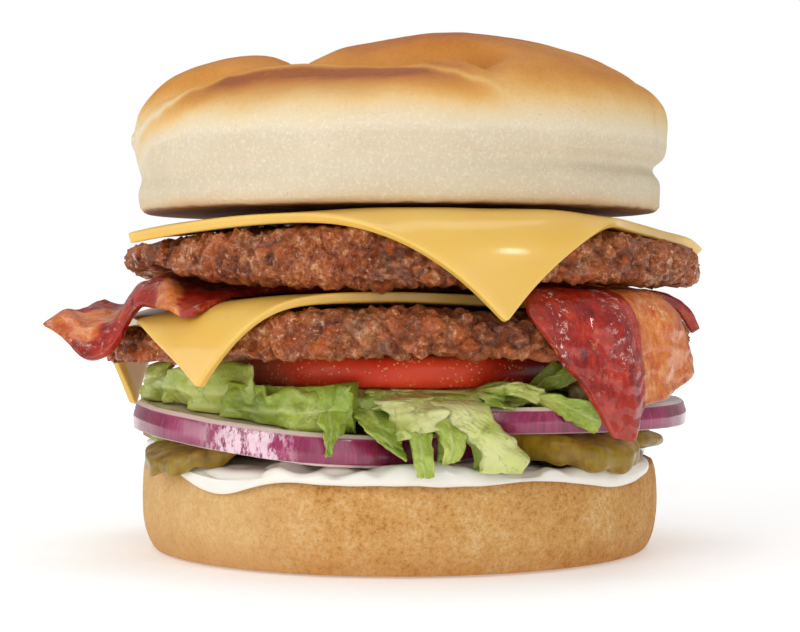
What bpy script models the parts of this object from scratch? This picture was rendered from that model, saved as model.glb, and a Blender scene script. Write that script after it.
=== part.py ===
"""A double cheeseburger with bacon: two buns, two patties, two cheese slices, bacon, tomato, lettuce,
red onion, pickles and mayonnaise, stacked as the real one is.

Every length below is in millimetres and is scaled to metres when a mesh is made. The origin is the
centre of the heel's underside, +Z is up, and the front of the burger faces -Y.
"""

import math

import bmesh
import bpy
from mathutils import Vector, noise
from mathutils.bvhtree import BVHTree

MM = 0.001
GAP = 0.3
PADDED = {}

# Driving dimensions
BUN_RADIUS = 55.0
HEEL_HEIGHT = 20.2
CROWN_RADIUS = 57.5
CROWN_BASE = 70.9
CROWN_SHOULDER = 90.0
CROWN_RISE = 19.8
PATTY_RADIUS = 60.5
CHEESE_THICKNESS = 2.2
BACON_THICKNESS = 1.8
TOMATO_RADIUS = 38.0
TOMATO_BASE = 35.2
TOMATO_THICKNESS = 6.8
LETTUCE_THICKNESS = 0.9

UPPER_PATTY_CENTRE = (2.5, 0.0)
LOWER_PATTY_CENTRE = (-1.0, -1.0)
TOMATO_CENTRE = (-1.0, -9.0)

MAYO_HANG = (
    # angle in degrees, half width in degrees, how far it hangs below the rim
    (231.0, 10.0, 5.0),
    (256.0, 7.0, 1.2),
    (278.0, 15.0, 0.9),
    (321.0, 13.0, 2.6),
    (25.0, 9.0, 3.4),
    (62.0, 12.0, 2.2),
    (106.0, 12.0, 3.6),
    (140.0, 14.0, 2.0),
    (168.0, 8.0, 1.0),
)
RIDGE_PITCH = 4.8
RIDGE_DEPTH = 0.4
PICKLES = (
    # name, centre x, centre y, radius, lift above the mayonnaise, thickness, droop and ridge angle in degrees
    ("pickle_left_side", -44.0, 1.0, 11.5, 0.0, 2.2, 60.0, 180.0),
    ("pickle_left_front", -35.2, -25.6, 15.2, 0.0, 1.6, 62.0, 216.0),
    ("pickle_right_front", 32.6, -30.4, 13.6, 0.0, 5.8, 30.0, 314.0),
    ("pickle_right_side", 41.5, 3.0, 15.0, 0.0, 4.0, 60.0, 5.0),
    ("pickle_back", 8.0, 39.0, 17.5, 0.0, 3.4, 60.0, 80.0),
)
ONIONS = (
    # name, centre x, centre y, radius, height at the origin, slope along x, slope along y, thickness
    ("onion_left", -18.6, -16.6, 36.6, 23.2, -0.062, 0.056, 5.5),
    ("onion_right", 24.0, -12.0, 36.0, 27.8, 0.0, 0.03, 4.8),
)
LOWER_CHEESE = ("cheese_lower", 97.0, (-9.8, -4.4), 15.5, LOWER_PATTY_CENTRE)
UPPER_CHEESE = ("cheese_upper", 88.0, (5.4, -18.0), 61.8, UPPER_PATTY_CENTRE)
BACON_FOLD = (
    # The fold line of the strip that runs right through, from its left tip to its right one
    (-71.5, -29.0, 48.9), (-67.4, -31.0, 48.2), (-63.0, -32.5, 46.2), (-59.0, -33.2, 46.1),
    (-56.2, -33.4, 48.8), (-54.0, -33.4, 52.8), (-50.6, -33.2, 56.6), (-46.0, -33.0, 57.2),
    (-41.0, -32.0, 55.2), (-36.5, -31.0, 54.2), (-30.0, -28.5, 54.1), (-18.0, -24.5, 54.2),
    (-4.0, -20.5, 54.2), (10.0, -16.5, 54.2), (24.0, -12.0, 54.2), (38.0, -7.5, 54.2),
    (49.0, -4.0, 54.0), (56.0, -2.5, 53.2), (60.6, -1.0, 50.4), (63.2, 0.5, 46.2),
)
RIGHT_BACON_END = (
    # angle in degrees, how far the draped bacon reaches along itself from the middle
    (-68.0, 66.7), (-65.0, 70.7), (-57.0, 78.2), (-52.5, 89.0), (-47.0, 89.7), (-44.5, 83.0),
    (-38.0, 82.5), (-30.0, 80.0), (-24.0, 77.5),
)
FRONT_SHREDS = (
    # path, side to side at its start, side to side at its end, wave, its own phase
    (((-53.0, -13.0, 36.2), (-48.5, -27.0, 35.7), (-39.5, -38.0, 35.2), (-28.0, -45.5, 34.4)),
     (0.0, 0.0, 7.8), (-1.0, -2.0, 9.4), 0.9, 0.0),
    (((-34.0, -42.0, 32.6), (-26.0, -48.5, 31.4), (-17.0, -51.5, 31.0), (-9.0, -51.5, 32.0)),
     (0.0, -2.0, 7.0), (0.0, -3.0, 10.0), 1.1, 1.0),
    (((-12.0, -46.0, 33.6), (-13.0, -52.0, 31.6), (-13.2, -56.6, 27.6), (-13.4, -57.6, 23.8)),
     (7.0, 0.0, 0.0), (1.2, 0.0, 0.0), 0.5, 2.0),
    (((0.0, -42.0, 34.4), (1.0, -50.0, 34.2), (3.0, -54.5, 31.6), (4.0, -56.0, 27.6)),
     (11.0, 0.0, 0.0), (10.0, -1.0, 3.0), 0.9, 3.2),
    (((-6.0, -46.0, 33.2), (-5.0, -52.0, 30.4), (-3.0, -56.4, 27.0), (-1.0, -57.4, 24.4)),
     (9.0, 0.0, 0.0), (5.0, 0.0, -3.0), 1.1, 0.4),
    (((2.0, -46.0, 32.8), (3.2, -54.0, 29.6), (4.4, -58.2, 25.0), (4.9, -58.8, 19.9)),
     (6.0, 0.0, 0.0), (3.2, 0.0, 0.0), 0.5, 2.4),
    (((7.0, -46.0, 33.6), (8.4, -54.0, 31.0), (10.2, -58.0, 27.0), (9.6, -58.6, 22.6)),
     (7.0, 0.0, 0.0), (3.6, 0.0, 0.6), 0.6, 4.4),
    (((8.0, -44.0, 34.2), (11.4, -53.5, 33.2), (15.6, -57.2, 28.6), (19.6, -57.8, 24.6), (19.4, -57.6, 20.6)),
     (9.5, 0.0, 0.0), (8.0, 0.6, 0.0), 0.5, 1.6),
    (((12.0, -37.0, 34.5), (17.0, -47.5, 35.4), (22.0, -50.0, 36.0), (28.0, -47.0, 34.4)),
     (1.0, -5.0, 1.0), (0.0, -2.0, 3.4), 0.7, 0.2),
    (((19.0, -36.0, 34.4), (27.0, -47.0, 34.0), (33.0, -50.8, 32.4), (38.6, -50.4, 30.4)),
     (-1.0, -4.0, 1.2), (2.0, -2.0, 5.0), 0.6, 2.8),
    (((20.0, -33.0, 34.4), (27.0, -41.5, 35.6), (31.0, -45.0, 37.4), (35.0, -45.0, 40.0)),
     (3.0, -3.0, 0.4), (3.0, 0.0, -2.6), 0.4, 5.0),
)
FRONT_CREASE = (
    # x, y of the crease that sweeps across the front left of the crown
    (-57.0, -7.0), (-44.0, -18.0), (-30.0, -23.0), (-18.0, -25.5), (0.0, -28.0), (10.0, -32.0),
    (20.0, -42.0),
)
LEFT_CREASE = (
    # y, x of the crease that runs back from the front one
    (-26.0, -22.0), (0.0, -21.0), (16.0, -20.0), (34.0, -14.0), (56.0, -4.0),
)
RIGHT_CREASE = ((-20.0, 53.0), (-5.0, 46.0), (8.0, 40.0), (24.0, 30.0), (40.0, 20.0), (56.0, 12.0))
BACK_CREASE = ((-20.0, 34.0), (0.0, 27.0), (20.0, 23.0), (38.0, 27.0), (52.0, 36.0))


# Small tools of shape

def smooth(share):
    share = min(max(share, 0.0), 1.0)
    return share * share * (3 - 2 * share)


def ramp(value, low, high):
    """0 below low, 1 above high and smooth in between."""
    return smooth((value - low) / (high - low))


def hump(value, centre, width):
    return math.exp(-(((value - centre) / width) ** 2))


def turned_by(angle, centre):
    """How far an angle is from a centre angle, both in degrees, the short way round."""
    return (angle - centre + 180) % 360 - 180


def round_hump(angle, centre, width):
    return hump(turned_by(angle, centre), 0.0, width)


def grain(x, y, z, size, seed):
    """Smooth noise from -1 to 1 whose features are about size across."""
    return noise.noise(Vector((x / size + seed * 7.3, y / size - seed * 3.1, z / size)))


def through(points, value):
    """A smooth curve through (place, amount) points, read at a place."""
    if value <= points[0][0]:
        return points[0][1]
    for (start, low), (end, high) in zip(points, points[1:]):
        if value <= end:
            return low + (high - low) * smooth((value - start) / (end - start))
    return points[-1][1]


def spline(points, share):
    """A point of the smooth curve through points, with share from 0 to 1 along it."""
    last = len(points) - 1
    place = min(max(share, 0.0), 1.0) * last
    index = min(int(place), last - 1)
    part = place - index
    before, start, end, after = (
        Vector(points[min(max(index + step, 0), last)]) for step in (-1, 0, 1, 2)
    )
    return 0.5 * (
        2 * start
        + (end - before) * part
        + (2 * before - 5 * start + 4 * end - after) * part**2
        + (3 * start - before - 3 * end + after) * part**3
    )


def over_edge(reach, edge, bend, droop):
    """Radius and drop of a point of a layer that lies flat out to edge and then bends down over it.

    reach is measured along the layer, bend is the radius of the bend and droop its whole turn."""
    if reach <= edge:
        return reach, 0.0
    turn = min((reach - edge) / bend, droop)
    rest = reach - edge - bend * turn
    radius = edge + bend * math.sin(turn) + rest * math.cos(turn)
    return radius, bend * (1 - math.cos(turn)) + rest * math.sin(turn)


# Making objects

def material(name, colour, roughness):
    made = bpy.data.materials.new(name)
    made.use_nodes = True
    made.diffuse_color = (*colour, 1.0)
    shader = made.node_tree.nodes["Principled BSDF"]
    shader.inputs["Base Color"].default_value = (*colour, 1.0)
    shader.inputs["Roughness"].default_value = roughness
    shader.inputs["Metallic"].default_value = 0.0
    return made


def upwards(_):
    return Vector((0.0, 0.0, 1.0))


def outwards(place):
    return Vector((place.x, place.y, 0.0)).normalized()


def over_rim(start, end, centre=(0.0, 0.0)):
    """A way to move that is up within start of the centre and mostly outwards beyond end."""

    def way(place):
        side = ramp(math.hypot(place.x - centre[0], place.y - centre[1]), start, end)
        return outwards(place) * side + Vector((0.0, 0.0, 1 - 0.85 * side))

    return way


def settle(shape, below, way, brush=7.0):
    """Moves a new piece softly out of the ones it touches, so that it lies over them as it would.

    way(place) is the direction, and the length, of a move at a place."""
    bmesh.ops.recalc_face_normals(shape, faces=shape.faces)
    bmesh.ops.triangulate(shape, faces=shape.faces, quad_method="FIXED")
    for _ in range(90):
        shape.faces.ensure_lookup_table()
        tree = BVHTree.FromBMesh(shape)
        touching = {face for name in below for face, _ in tree.overlap(PADDED[name])}
        if not touching:
            return
        spots = [shape.faces[index].calc_center_median() for index in sorted(touching)]
        spots = spots[:: 1 + len(spots) // 30]
        held = {vert for index in touching for vert in shape.faces[index].verts}
        for vert in shape.verts:
            near = min((vert.co - spot).length_squared for spot in spots)
            share = 1.0 if vert in held else math.exp(-near / brush**2)
            vert.co += way(vert.co) * 0.15 * share
    raise RuntimeError(f"a piece still touches one of {below}")


def remember(shape, name):
    """Keeps a slightly swollen copy of a piece, for the pieces that are laid on it later."""
    swollen = shape.copy()
    swollen.normal_update()
    moved = [vert.co + vert.normal * (GAP + 0.08) for vert in swollen.verts]
    for vert, place in zip(swollen.verts, moved):
        vert.co = place
    PADDED[name] = BVHTree.FromBMesh(swollen)
    swollen.free()


def loose_object(shape, name):
    """A plain object in metres from a bmesh in millimetres."""
    bmesh.ops.scale(shape, vec=(MM, MM, MM), verts=shape.verts)
    mesh = bpy.data.meshes.new(name)
    shape.to_mesh(mesh)
    shape.free()
    made = bpy.data.objects.new(name, mesh)
    bpy.context.scene.collection.objects.link(made)
    return made


def finish(shape, name, look, below=(), way=upwards, brush=7.0):
    """Turns a bmesh in millimetres into a named object in metres, clear of the pieces below it."""
    settle(shape, below, way, brush)
    remember(shape, name)
    made = loose_object(shape, name)
    made.data.shade_smooth()
    made.data.materials.append(look)
    return made


def round_mesh(profile, steps, centre=(0.0, 0.0)):
    """A closed round solid: profile(angle in degrees) lists (radius, height) from the middle of the
    top, out round the edge, to the middle of the underside."""
    shape = bmesh.new()
    columns = []
    for step in range(steps):
        angle = 360 * step / steps
        turn = math.radians(angle)
        points = profile(angle)
        columns.append([
            shape.verts.new((centre[0] + r * math.cos(turn), centre[1] + r * math.sin(turn), z))
            for r, z in points[1:-1]
        ])
    top = shape.verts.new((*centre, profile(0)[0][1]))
    bottom = shape.verts.new((*centre, profile(0)[-1][1]))
    for column, following in zip(columns, columns[1:] + columns[:1]):
        shape.faces.new((top, column[0], following[0]))
        shape.faces.new((bottom, following[-1], column[-1]))
        for row in range(len(column) - 1):
            shape.faces.new((column[row], column[row + 1], following[row + 1], following[row]))
    return shape


def close_layer(shape, sides, along, across):
    """Faces over both grids of a layer and round its rim."""
    upper, lower = sides
    for i in range(along):
        for j in range(across):
            corners = ((i, j), (i + 1, j), (i + 1, j + 1), (i, j + 1))
            shape.faces.new([upper[a][b] for a, b in corners])
            shape.faces.new([lower[a][b] for a, b in (corners[0], *corners[:0:-1])])
    rim = [(i, 0) for i in range(along)] + [(along, j) for j in range(across)]
    rim += [(i, across) for i in range(along, 0, -1)] + [(0, j) for j in range(across, 0, -1)]
    for (a, b), (c, d) in zip(rim, rim[1:] + rim[:1]):
        shape.faces.new((lower[a][b], lower[c][d], upper[c][d], upper[a][b]))


def layer_mesh(surface, along, across, thickness):
    """A closed layer of even thickness on both sides of surface(u, v), with u and v from 0 to 1."""
    shape = bmesh.new()
    small = 1e-3
    sides = ([], [])
    for i in range(along + 1):
        rows = ([], [])
        for j in range(across + 1):
            u, v = i / along, j / across
            slope_u = surface(min(u + small, 1.0), v) - surface(max(u - small, 0.0), v)
            slope_v = surface(u, min(v + small, 1.0)) - surface(u, max(v - small, 0.0))
            out = slope_u.cross(slope_v).normalized() * thickness / 2
            middle = surface(u, v)
            rows[0].append(shape.verts.new(middle + out))
            rows[1].append(shape.verts.new(middle - out))
        sides[0].append(rows[0])
        sides[1].append(rows[1])
    close_layer(shape, sides, along, across)
    return shape


# Heel and mayonnaise

def heel_top(x, y):
    return HEEL_HEIGHT - 0.018 * x + 0.016 * y


def bun_swell(turn):
    return 0.5 * math.sin(2 * turn + 0.6) + 0.35 * math.sin(5 * turn)


def heel_bun(look):
    side = ((54.2, -0.6), (55.2, -3.0))
    foot = ((55.4, 9.0), (54.8, 3.6), (53.0, 0.5), (50.0, 0.0), (26.0, 0.0), (0.0, 0.0))

    def profile(angle):
        turn = math.radians(angle)

        def top(r):
            return heel_top(r * math.cos(turn), r * math.sin(turn))

        points = [(r, top(r)) for r in (0.0, 26.0, 44.0, 52.6)]
        points += [(r + bun_swell(turn), top(r) + z) for r, z in side]
        return points + [(r + bun_swell(turn) * ramp(z, 0.0, 8.0), z) for r, z in foot]

    return finish(round_mesh(profile, 44), "heel_bun", look)


def mayo_hang(angle):
    return sum(deep * math.exp(-(abs(turned_by(angle, at) / wide) ** 2.3)) for at, wide, deep in MAYO_HANG)


def mayonnaise(look):
    """A thin spread on the heel that swells at the rim and hangs over it in places."""

    def profile(angle):
        turn = math.radians(angle)
        hang = mayo_hang(angle)
        out = ramp(hang, 0.15, 0.8)
        edge = BUN_RADIUS + bun_swell(turn)
        inner = edge + GAP + 0.55
        lip = 1.0 * out

        def base(r):
            r = min(r, 53.0)
            return heel_top(r * math.cos(turn), r * math.sin(turn)) + GAP + 0.12

        rim = base(53.0)
        high = 0.5 + 0.2 * out + 2.4 * round_hump(angle, 277, 9)
        points = [(r, base(r) + 0.6) for r in (0.0, 24.0, 42.0)]
        points += [(50.0, base(50.0) + 0.6)]
        if out > 0.05:
            low = rim - 0.9 - hang * out
            points += [
                (54.2, rim + high),
                (inner + 0.4 * lip, rim + 0.6 * high),
                (inner + lip, rim + (low - rim) * 0.4),
                (inner + lip * 0.9, rim + (low - rim) * 0.8),
                (inner + 0.3 * lip, low - 0.3),
                (inner, rim + (low - rim) * 0.6),
                (inner - 0.2, rim - 0.5),
            ]
        else:
            points += [(52.4 - 0.1 * k, rim + 0.6 - 0.07 * k) for k in range(7)]
        return points + [(min(inner - 3.0, 51.8), rim), (0.0, base(0.0))]

    return finish(round_mesh(profile, 50), "mayonnaise", look, ("heel_bun",), upwards, 3.0)


# Pickles: crinkle-cut chips whose outer ends droop over the heel's rim

def pickle_chip(look, chip, below):
    """A disc of pickle with ridges that run outwards, bent down where it passes the rim."""
    name, x0, y0, radius, lift, thickness, droop, ridge_angle = chip
    ahead = Vector((math.cos(math.radians(ridge_angle)), math.sin(math.radians(ridge_angle))))
    aside = Vector((-ahead.y, ahead.x))
    columns, rows = 2 * round(radius / RIDGE_PITCH * 2), 3
    edge, bend = 54.4, 4.4
    shape = bmesh.new()
    faces = ([], [])
    for i in range(columns + 1):
        across = (i / columns * 2 - 1) * 0.97
        half = radius * math.sqrt(1 - across**2)
        ridge = RIDGE_DEPTH * (-1) ** i
        for side, height in enumerate((thickness + ridge, ridge + RIDGE_DEPTH)):
            column = []
            for j in range(rows + 1):
                flat = Vector((x0, y0)) + aside * across * radius + ahead * half * (2 * j / rows - 1)
                base = heel_top(flat.x, flat.y) + 1.5 + lift
                turned = min(max(flat.length - edge, 0.0) / bend, math.radians(droop))
                at, drop = over_edge(flat.length, edge, bend, math.radians(droop))
                at += height * math.sin(turned)
                column.append(shape.verts.new(
                    (*(flat.normalized() * at), base - drop + height * math.cos(turned))
                ))
            faces[side].append(column)
    close_layer(shape, faces, columns, rows)
    return finish(shape, name, look, below, over_rim(53.0, 57.0), 9.0)


# Red onion slices

def onion_base(onion, x, y):
    _, _, _, _, height, slope_x, slope_y, _ = onion
    return height + slope_x * x + slope_y * y


def onion_slice(look, onion, below):
    """A slice with a slightly bulging skin side and a shallow step between two of its layers."""
    name, x0, y0, radius, _, _, _, thickness = onion

    def profile(angle):
        turn = math.radians(angle)
        rim = radius + 0.5 * math.sin(3 * turn + x0)

        def at(r, height):
            return r, onion_base(onion, x0 + r * math.cos(turn), y0 + r * math.sin(turn)) + height

        return [
            at(0.0, thickness - 0.3), at(24.0, thickness - 0.3), at(25.0, thickness),
            at(rim - 1.0, thickness), at(rim - 0.1, thickness - 0.6), at(rim + 0.6, thickness * 0.5),
            at(rim + 0.4, 0.6), at(rim - 0.6, 0.0), at(20.0, 0.0), at(0.0, 0.0),
        ]

    return finish(round_mesh(profile, 34, (x0, y0)), name, look, below, upwards, 12.0)


# Lettuce: a bed under the tomato with the shreds that show fused onto it

def bed_base(x, y):
    right = onion_base(ONIONS[1], x, y) + ONIONS[1][7]
    left = onion_base(ONIONS[0], x, y) + ONIONS[0][7]
    over = ramp(math.hypot(x - ONIONS[1][1], y - ONIONS[1][2]), 36.0, 44.0)
    return right + (left - right) * over + 0.6 - 5.0 * ramp(y, 22.0, 36.0)


def lettuce_bed():
    def profile(angle):
        turn = math.radians(angle)
        rim = 44.5 + 1.3 * math.sin(7 * turn) + 0.8 * math.sin(11 * turn + 1)
        rim += 8.0 * round_hump(angle, 212, 34)

        def at(r):
            return r * math.cos(turn), r * math.sin(turn)

        top = TOMATO_BASE - GAP - 0.2
        return [
            (0.0, top), (24.0, top), (rim - 5, top), (rim, top - 0.5),
            (rim - 0.6, min(bed_base(*at(rim - 3)) + 0.3, top - 1.7)),
            (rim - 6, min(bed_base(*at(rim - 6)), top - 1.4)),
            (24.0, min(bed_base(*at(24.0)), top - 1.0)),
            (0.0, min(bed_base(0.0, 0.0), top - 1.0)),
        ]

    return round_mesh(profile, 26)


def shred_surface(shred):
    """A curled ribbon of lettuce along its path, with its own wave."""
    path, first, last, wave, seed = shred

    def surface(u, v):
        side = Vector(first).lerp(Vector(last), smooth(u))
        ruffle = wave * math.sin(u * 9.0 + seed) * (0.35 + v) + 0.5 * wave * math.sin(6 * v + 5 * u + seed)
        middle = spline(path, u)
        out = Vector((middle.x, middle.y, 0.0)).normalized()
        return middle + side * (v - 0.5) + out * ruffle

    return surface


def side_shreds():
    """The shreds round the sides and the back, each a little different."""
    for k in range(9):
        angle = math.radians(338 + 24.5 * k)
        out = Vector((math.cos(angle), math.sin(angle), 0.0))
        aside = Vector((-out.y, out.x, 0.0))
        jitter = grain(k * 3.7, 1.0, 0.0, 1.0, 5)
        reach = 53.0 + 3.5 * jitter
        low = 30.0 - 3.0 * abs(jitter)
        path = (
            out * 38.0 + Vector((0, 0, 34.2)), out * 46.0 + Vector((0, 0, 34.8 + jitter)),
            out * reach + aside * 4 * jitter + Vector((0, 0, 33.6)),
            out * (reach + 2.0) + aside * 7 * jitter + Vector((0, 0, low)),
        )
        wide = 14.0 + 4.0 * jitter
        yield path, aside * wide, (aside + Vector((0, 0, 0.5 * jitter))) * wide * 0.8, 0.9, k * 1.7


def loose_end(place):
    """The way a shred moves: outwards and a little up, with its root held in the bed."""
    free = ramp(place.to_2d().length, 41.0, 48.0)
    return (outwards(place) + Vector((0.0, 0.0, 0.35))) * free


def largest_body(shape):
    """Leaves only the largest connected body of a mesh."""
    left = set(shape.verts)
    bodies = []
    while left:
        body, edge = set(), [next(iter(left))]
        while edge:
            vert = edge.pop()
            if vert in left:
                left.remove(vert)
                body.add(vert)
                edge += [link.other_vert(vert) for link in vert.link_edges]
        bodies.append(body)
    bodies.sort(key=len)
    for body in bodies[:-1]:
        bmesh.ops.delete(shape, geom=list(body), context="VERTS")


def lettuce(look, below):
    settled_bed = lettuce_bed()
    bmesh.ops.recalc_face_normals(settled_bed, faces=settled_bed.faces)
    settle(settled_bed, below, upwards, 9.0)
    bed = loose_object(settled_bed, "lettuce")
    shreds = bpy.data.collections.new("shreds")
    bpy.context.scene.collection.children.link(shreds)
    for index, shred in enumerate((*FRONT_SHREDS, *side_shreds())):
        steps = 7 if index < len(FRONT_SHREDS) else 4
        ribbon = layer_mesh(shred_surface(shred), steps, 2 if steps == 7 else 1, LETTUCE_THICKNESS)
        settle(ribbon, below, loose_end, 8.0)
        made = loose_object(ribbon, f"shred_{index}")
        bpy.context.scene.collection.objects.unlink(made)
        shreds.objects.link(made)
    fuse = bed.modifiers.new("fuse", "BOOLEAN")
    fuse.operation = "UNION"
    fuse.operand_type = "COLLECTION"
    fuse.collection = shreds
    fuse.solver = "MANIFOLD"
    bpy.context.view_layer.objects.active = bed
    bpy.ops.object.modifier_apply(modifier=fuse.name)
    for made in list(shreds.objects):
        bpy.data.objects.remove(made)
    bpy.data.collections.remove(shreds)
    joined = bmesh.new()
    joined.from_mesh(bed.data)
    bpy.data.objects.remove(bed)
    bmesh.ops.scale(joined, vec=(1 / MM, 1 / MM, 1 / MM), verts=joined.verts)
    bmesh.ops.triangulate(joined, faces=joined.faces)
    largest_body(joined)
    return finish(joined, "lettuce", look)


# Tomato

def tomato_slice(look, below):
    def profile(angle):
        turn = math.radians(angle)
        rim = TOMATO_RADIUS + 0.7 * math.sin(3 * turn) + 0.4 * math.sin(5 * turn + 1)
        top = TOMATO_BASE + TOMATO_THICKNESS
        return [
            (0.0, top), (rim - 12, top), (rim - 1.6, top - 0.3), (rim - 0.2, top - 1.6),
            (rim + 0.2, top - 3.2), (rim - 0.5, TOMATO_BASE + 1.2), (rim - 2.2, TOMATO_BASE + 0.1),
            (rim - 13, TOMATO_BASE), (0.0, TOMATO_BASE),
        ]

    return finish(round_mesh(profile, 32, TOMATO_CENTRE), "tomato_slice", look, below, upwards, 12.0)


# Patties

def lower_patty_sag(x, y):
    """How far the rim of the lower patty hangs below its middle."""
    angle = math.degrees(math.atan2(y, x))
    deep = 1.4 + 4.8 * round_hump(angle, 190, 48) + 1.5 * round_hump(angle, 345, 40)
    return deep * ramp(math.hypot(x, y), 36.0, 64.0)


def lower_patty_top(x, y):
    angle = math.degrees(math.atan2(y, x))
    front = 2.2 * round_hump(angle, 268, 34) * ramp(math.hypot(x, y), 38.0, 54.0)
    return 51.0 + front - 0.8 * lower_patty_sag(x, y)


def lower_patty_base(x, y):
    return 43.0 - lower_patty_sag(x, y)


def upper_patty_top(x, y):
    angle = math.degrees(math.atan2(y, x))
    side = 3.6 * round_hump(angle, 180, 42) + 4.2 * round_hump(angle, 0, 44) + 0.8
    return 68.4 - side * ramp(math.hypot(x, y), 26.0, 62.0)


def upper_patty_base(x, y):
    radius = math.hypot(x, y)
    angle = math.degrees(math.atan2(y, x))
    left = 3.4 * round_hump(angle, 192, 24) * ramp(radius, 40.0, 58.0)
    front = -1.0 * round_hump(angle, 272, 22) * ramp(radius, 44.0, 56.0)
    return 55.6 + left + front


def patty(name, look, centre, radius, top, base, seed, below):
    """A ground beef patty: its faces follow top(x, y) and base(x, y), and crags roughen its side."""
    flat = (0.0, 0.42, 0.74, 0.9)
    side = ((0.972, 0.0), (1.0, 0.2), (0.992, 0.46), (1.0, 0.74), (0.982, 0.95))

    def profile(angle):
        turn = math.radians(angle)
        ragged = grain(math.cos(turn) * 30, math.sin(turn) * 30, 0.0, 9.0, seed)
        rim = radius * (1 + 0.012 * math.sin(2 * turn + seed) + 0.022 * ragged)

        def rough(r, height, z):
            x, y = r * math.cos(turn), r * math.sin(turn)
            return height(x, y), 0.3 * (1 + grain(x, y, z, 6.0, seed)) * ramp(r / rim, 0.2, 0.8)

        points = []
        for share in flat:
            height, dent = rough(rim * share, top, 0)
            points.append((rim * share, height - dent))
        for share, down in side:
            x, y = rim * share * math.cos(turn), rim * share * math.sin(turn)
            high, low = top(x, y) - 0.6, base(x, y) + 0.3
            z = high + (low - high) * down
            crag = 1.4 * grain(x, y, z, 5.2, seed + 1) * smooth(0.25 + down * (1 - down) * 3)
            points.append((rim * share + crag, z))
        for share in (0.92, *flat[2:0:-1], 0.0):
            height, dent = rough(rim * share, base, 9)
            points.append((rim * share, height + dent))
        return points

    def lift(place):
        middle = (top(place.x, place.y) + base(place.x, place.y)) / 2
        return Vector((0.0, 0.0, 1 - ramp(place.z, middle, middle + 5)))

    return finish(round_mesh(profile, 48, centre), name, look, below, lift, 5.0)


# Cheese slices, square sheets that soften over a patty's rim

def cheese_slice(look, cheese, edge, height, droop_at, below):
    """A square slice laid on height(x, y) and bent down past edge by droop_at(angle) degrees."""
    name, side_length, middle, turn_deg, patty_centre = cheese
    turn = math.radians(turn_deg)
    bend = 5.2

    def surface(u, v):
        s, t = (u - 0.5) * side_length, (v - 0.5) * side_length
        x = middle[0] + s * math.cos(turn) - t * math.sin(turn) - patty_centre[0]
        y = middle[1] + s * math.sin(turn) + t * math.cos(turn) - patty_centre[1]
        reach = max(math.hypot(x, y), 1e-6)
        angle = math.degrees(math.atan2(y, x))
        run = 1 + 0.45 * round_hump(angle, 158, 16) * (name == "cheese_lower")
        length = min(reach, edge) + run * max(reach - edge, 0.0)
        at, drop = over_edge(length, edge, bend, math.radians(droop_at(angle)))
        share, inner = at / reach, min(reach, edge) / reach
        z = height(x * inner, y * inner) + GAP + CHEESE_THICKNESS / 2 + 0.15 - drop
        return Vector((patty_centre[0] + x * share, patty_centre[1] + y * share, z))

    shape = layer_mesh(surface, 13, 13, CHEESE_THICKNESS)
    return finish(shape, name, look, below, over_rim(edge - 2, edge + 5, patty_centre), 8.0)


def upper_droop(angle):
    return 12 + 66 * round_hump(angle, 286, 32) + 38 * round_hump(angle, 8, 30) + 45 * round_hump(angle, 100, 50)


def lower_droop(angle):
    return 62 + 20 * round_hump(angle, 155, 34) + 16 * round_hump(angle, 232, 26)


# Bacon

def left_bacon(look, below):
    """A strip whose near edge curls down and whose far side rises where it hangs out on the left."""
    width, curl = 25.0, 5.0

    def surface(u, v):
        fold = spline(BACON_FOLD, u + 0.12 * v * (1 - u) ** 6)
        free = ramp(-fold.x, 34.0, 52.0)
        far_tilt = math.radians(17) * ramp(-fold.x, 52.0, 62.0)
        across = v * width - curl * (1 - 0.8 * ramp(-fold.x, 64.0, 71.0))
        tilt = math.radians(72) * free if across < 0 else far_tilt
        ripple = 0.5 * free * math.sin(0.55 * fold.x + 5 * v) * v
        return fold + Vector((0.0, across * math.cos(tilt), across * math.sin(tilt) + ripple))

    shape = layer_mesh(surface, 36, 4, BACON_THICKNESS)
    return finish(shape, "bacon_left", look, below, over_rim(59.0, 69.0), 7.0)


def right_bacon(look, below):
    """A half strip that comes out at the front right and hangs down over the lower patty."""
    inner, edge, bend = 35.0, 58.6, 5.2

    def surface(u, v):
        reach = inner + (through(RIGHT_BACON_END, -68 + 44 * v) - inner) * u
        turn = math.radians(-68 + v * (33 + 8 * ramp(reach, 57.0, 80.0)))
        at, drop = over_edge(reach, edge, bend, math.radians(85))
        at += ramp(reach, edge, edge + 8) * (0.9 * math.sin(14.0 * v + 0.6) + 0.7 * v)
        return Vector((at * math.cos(turn), at * math.sin(turn), 54.1 - drop))

    shape = layer_mesh(surface, 14, 11, BACON_THICKNESS)
    return finish(shape, "bacon_right", look, below, over_rim(57.0, 63.0), 7.0)


# Crown

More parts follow.
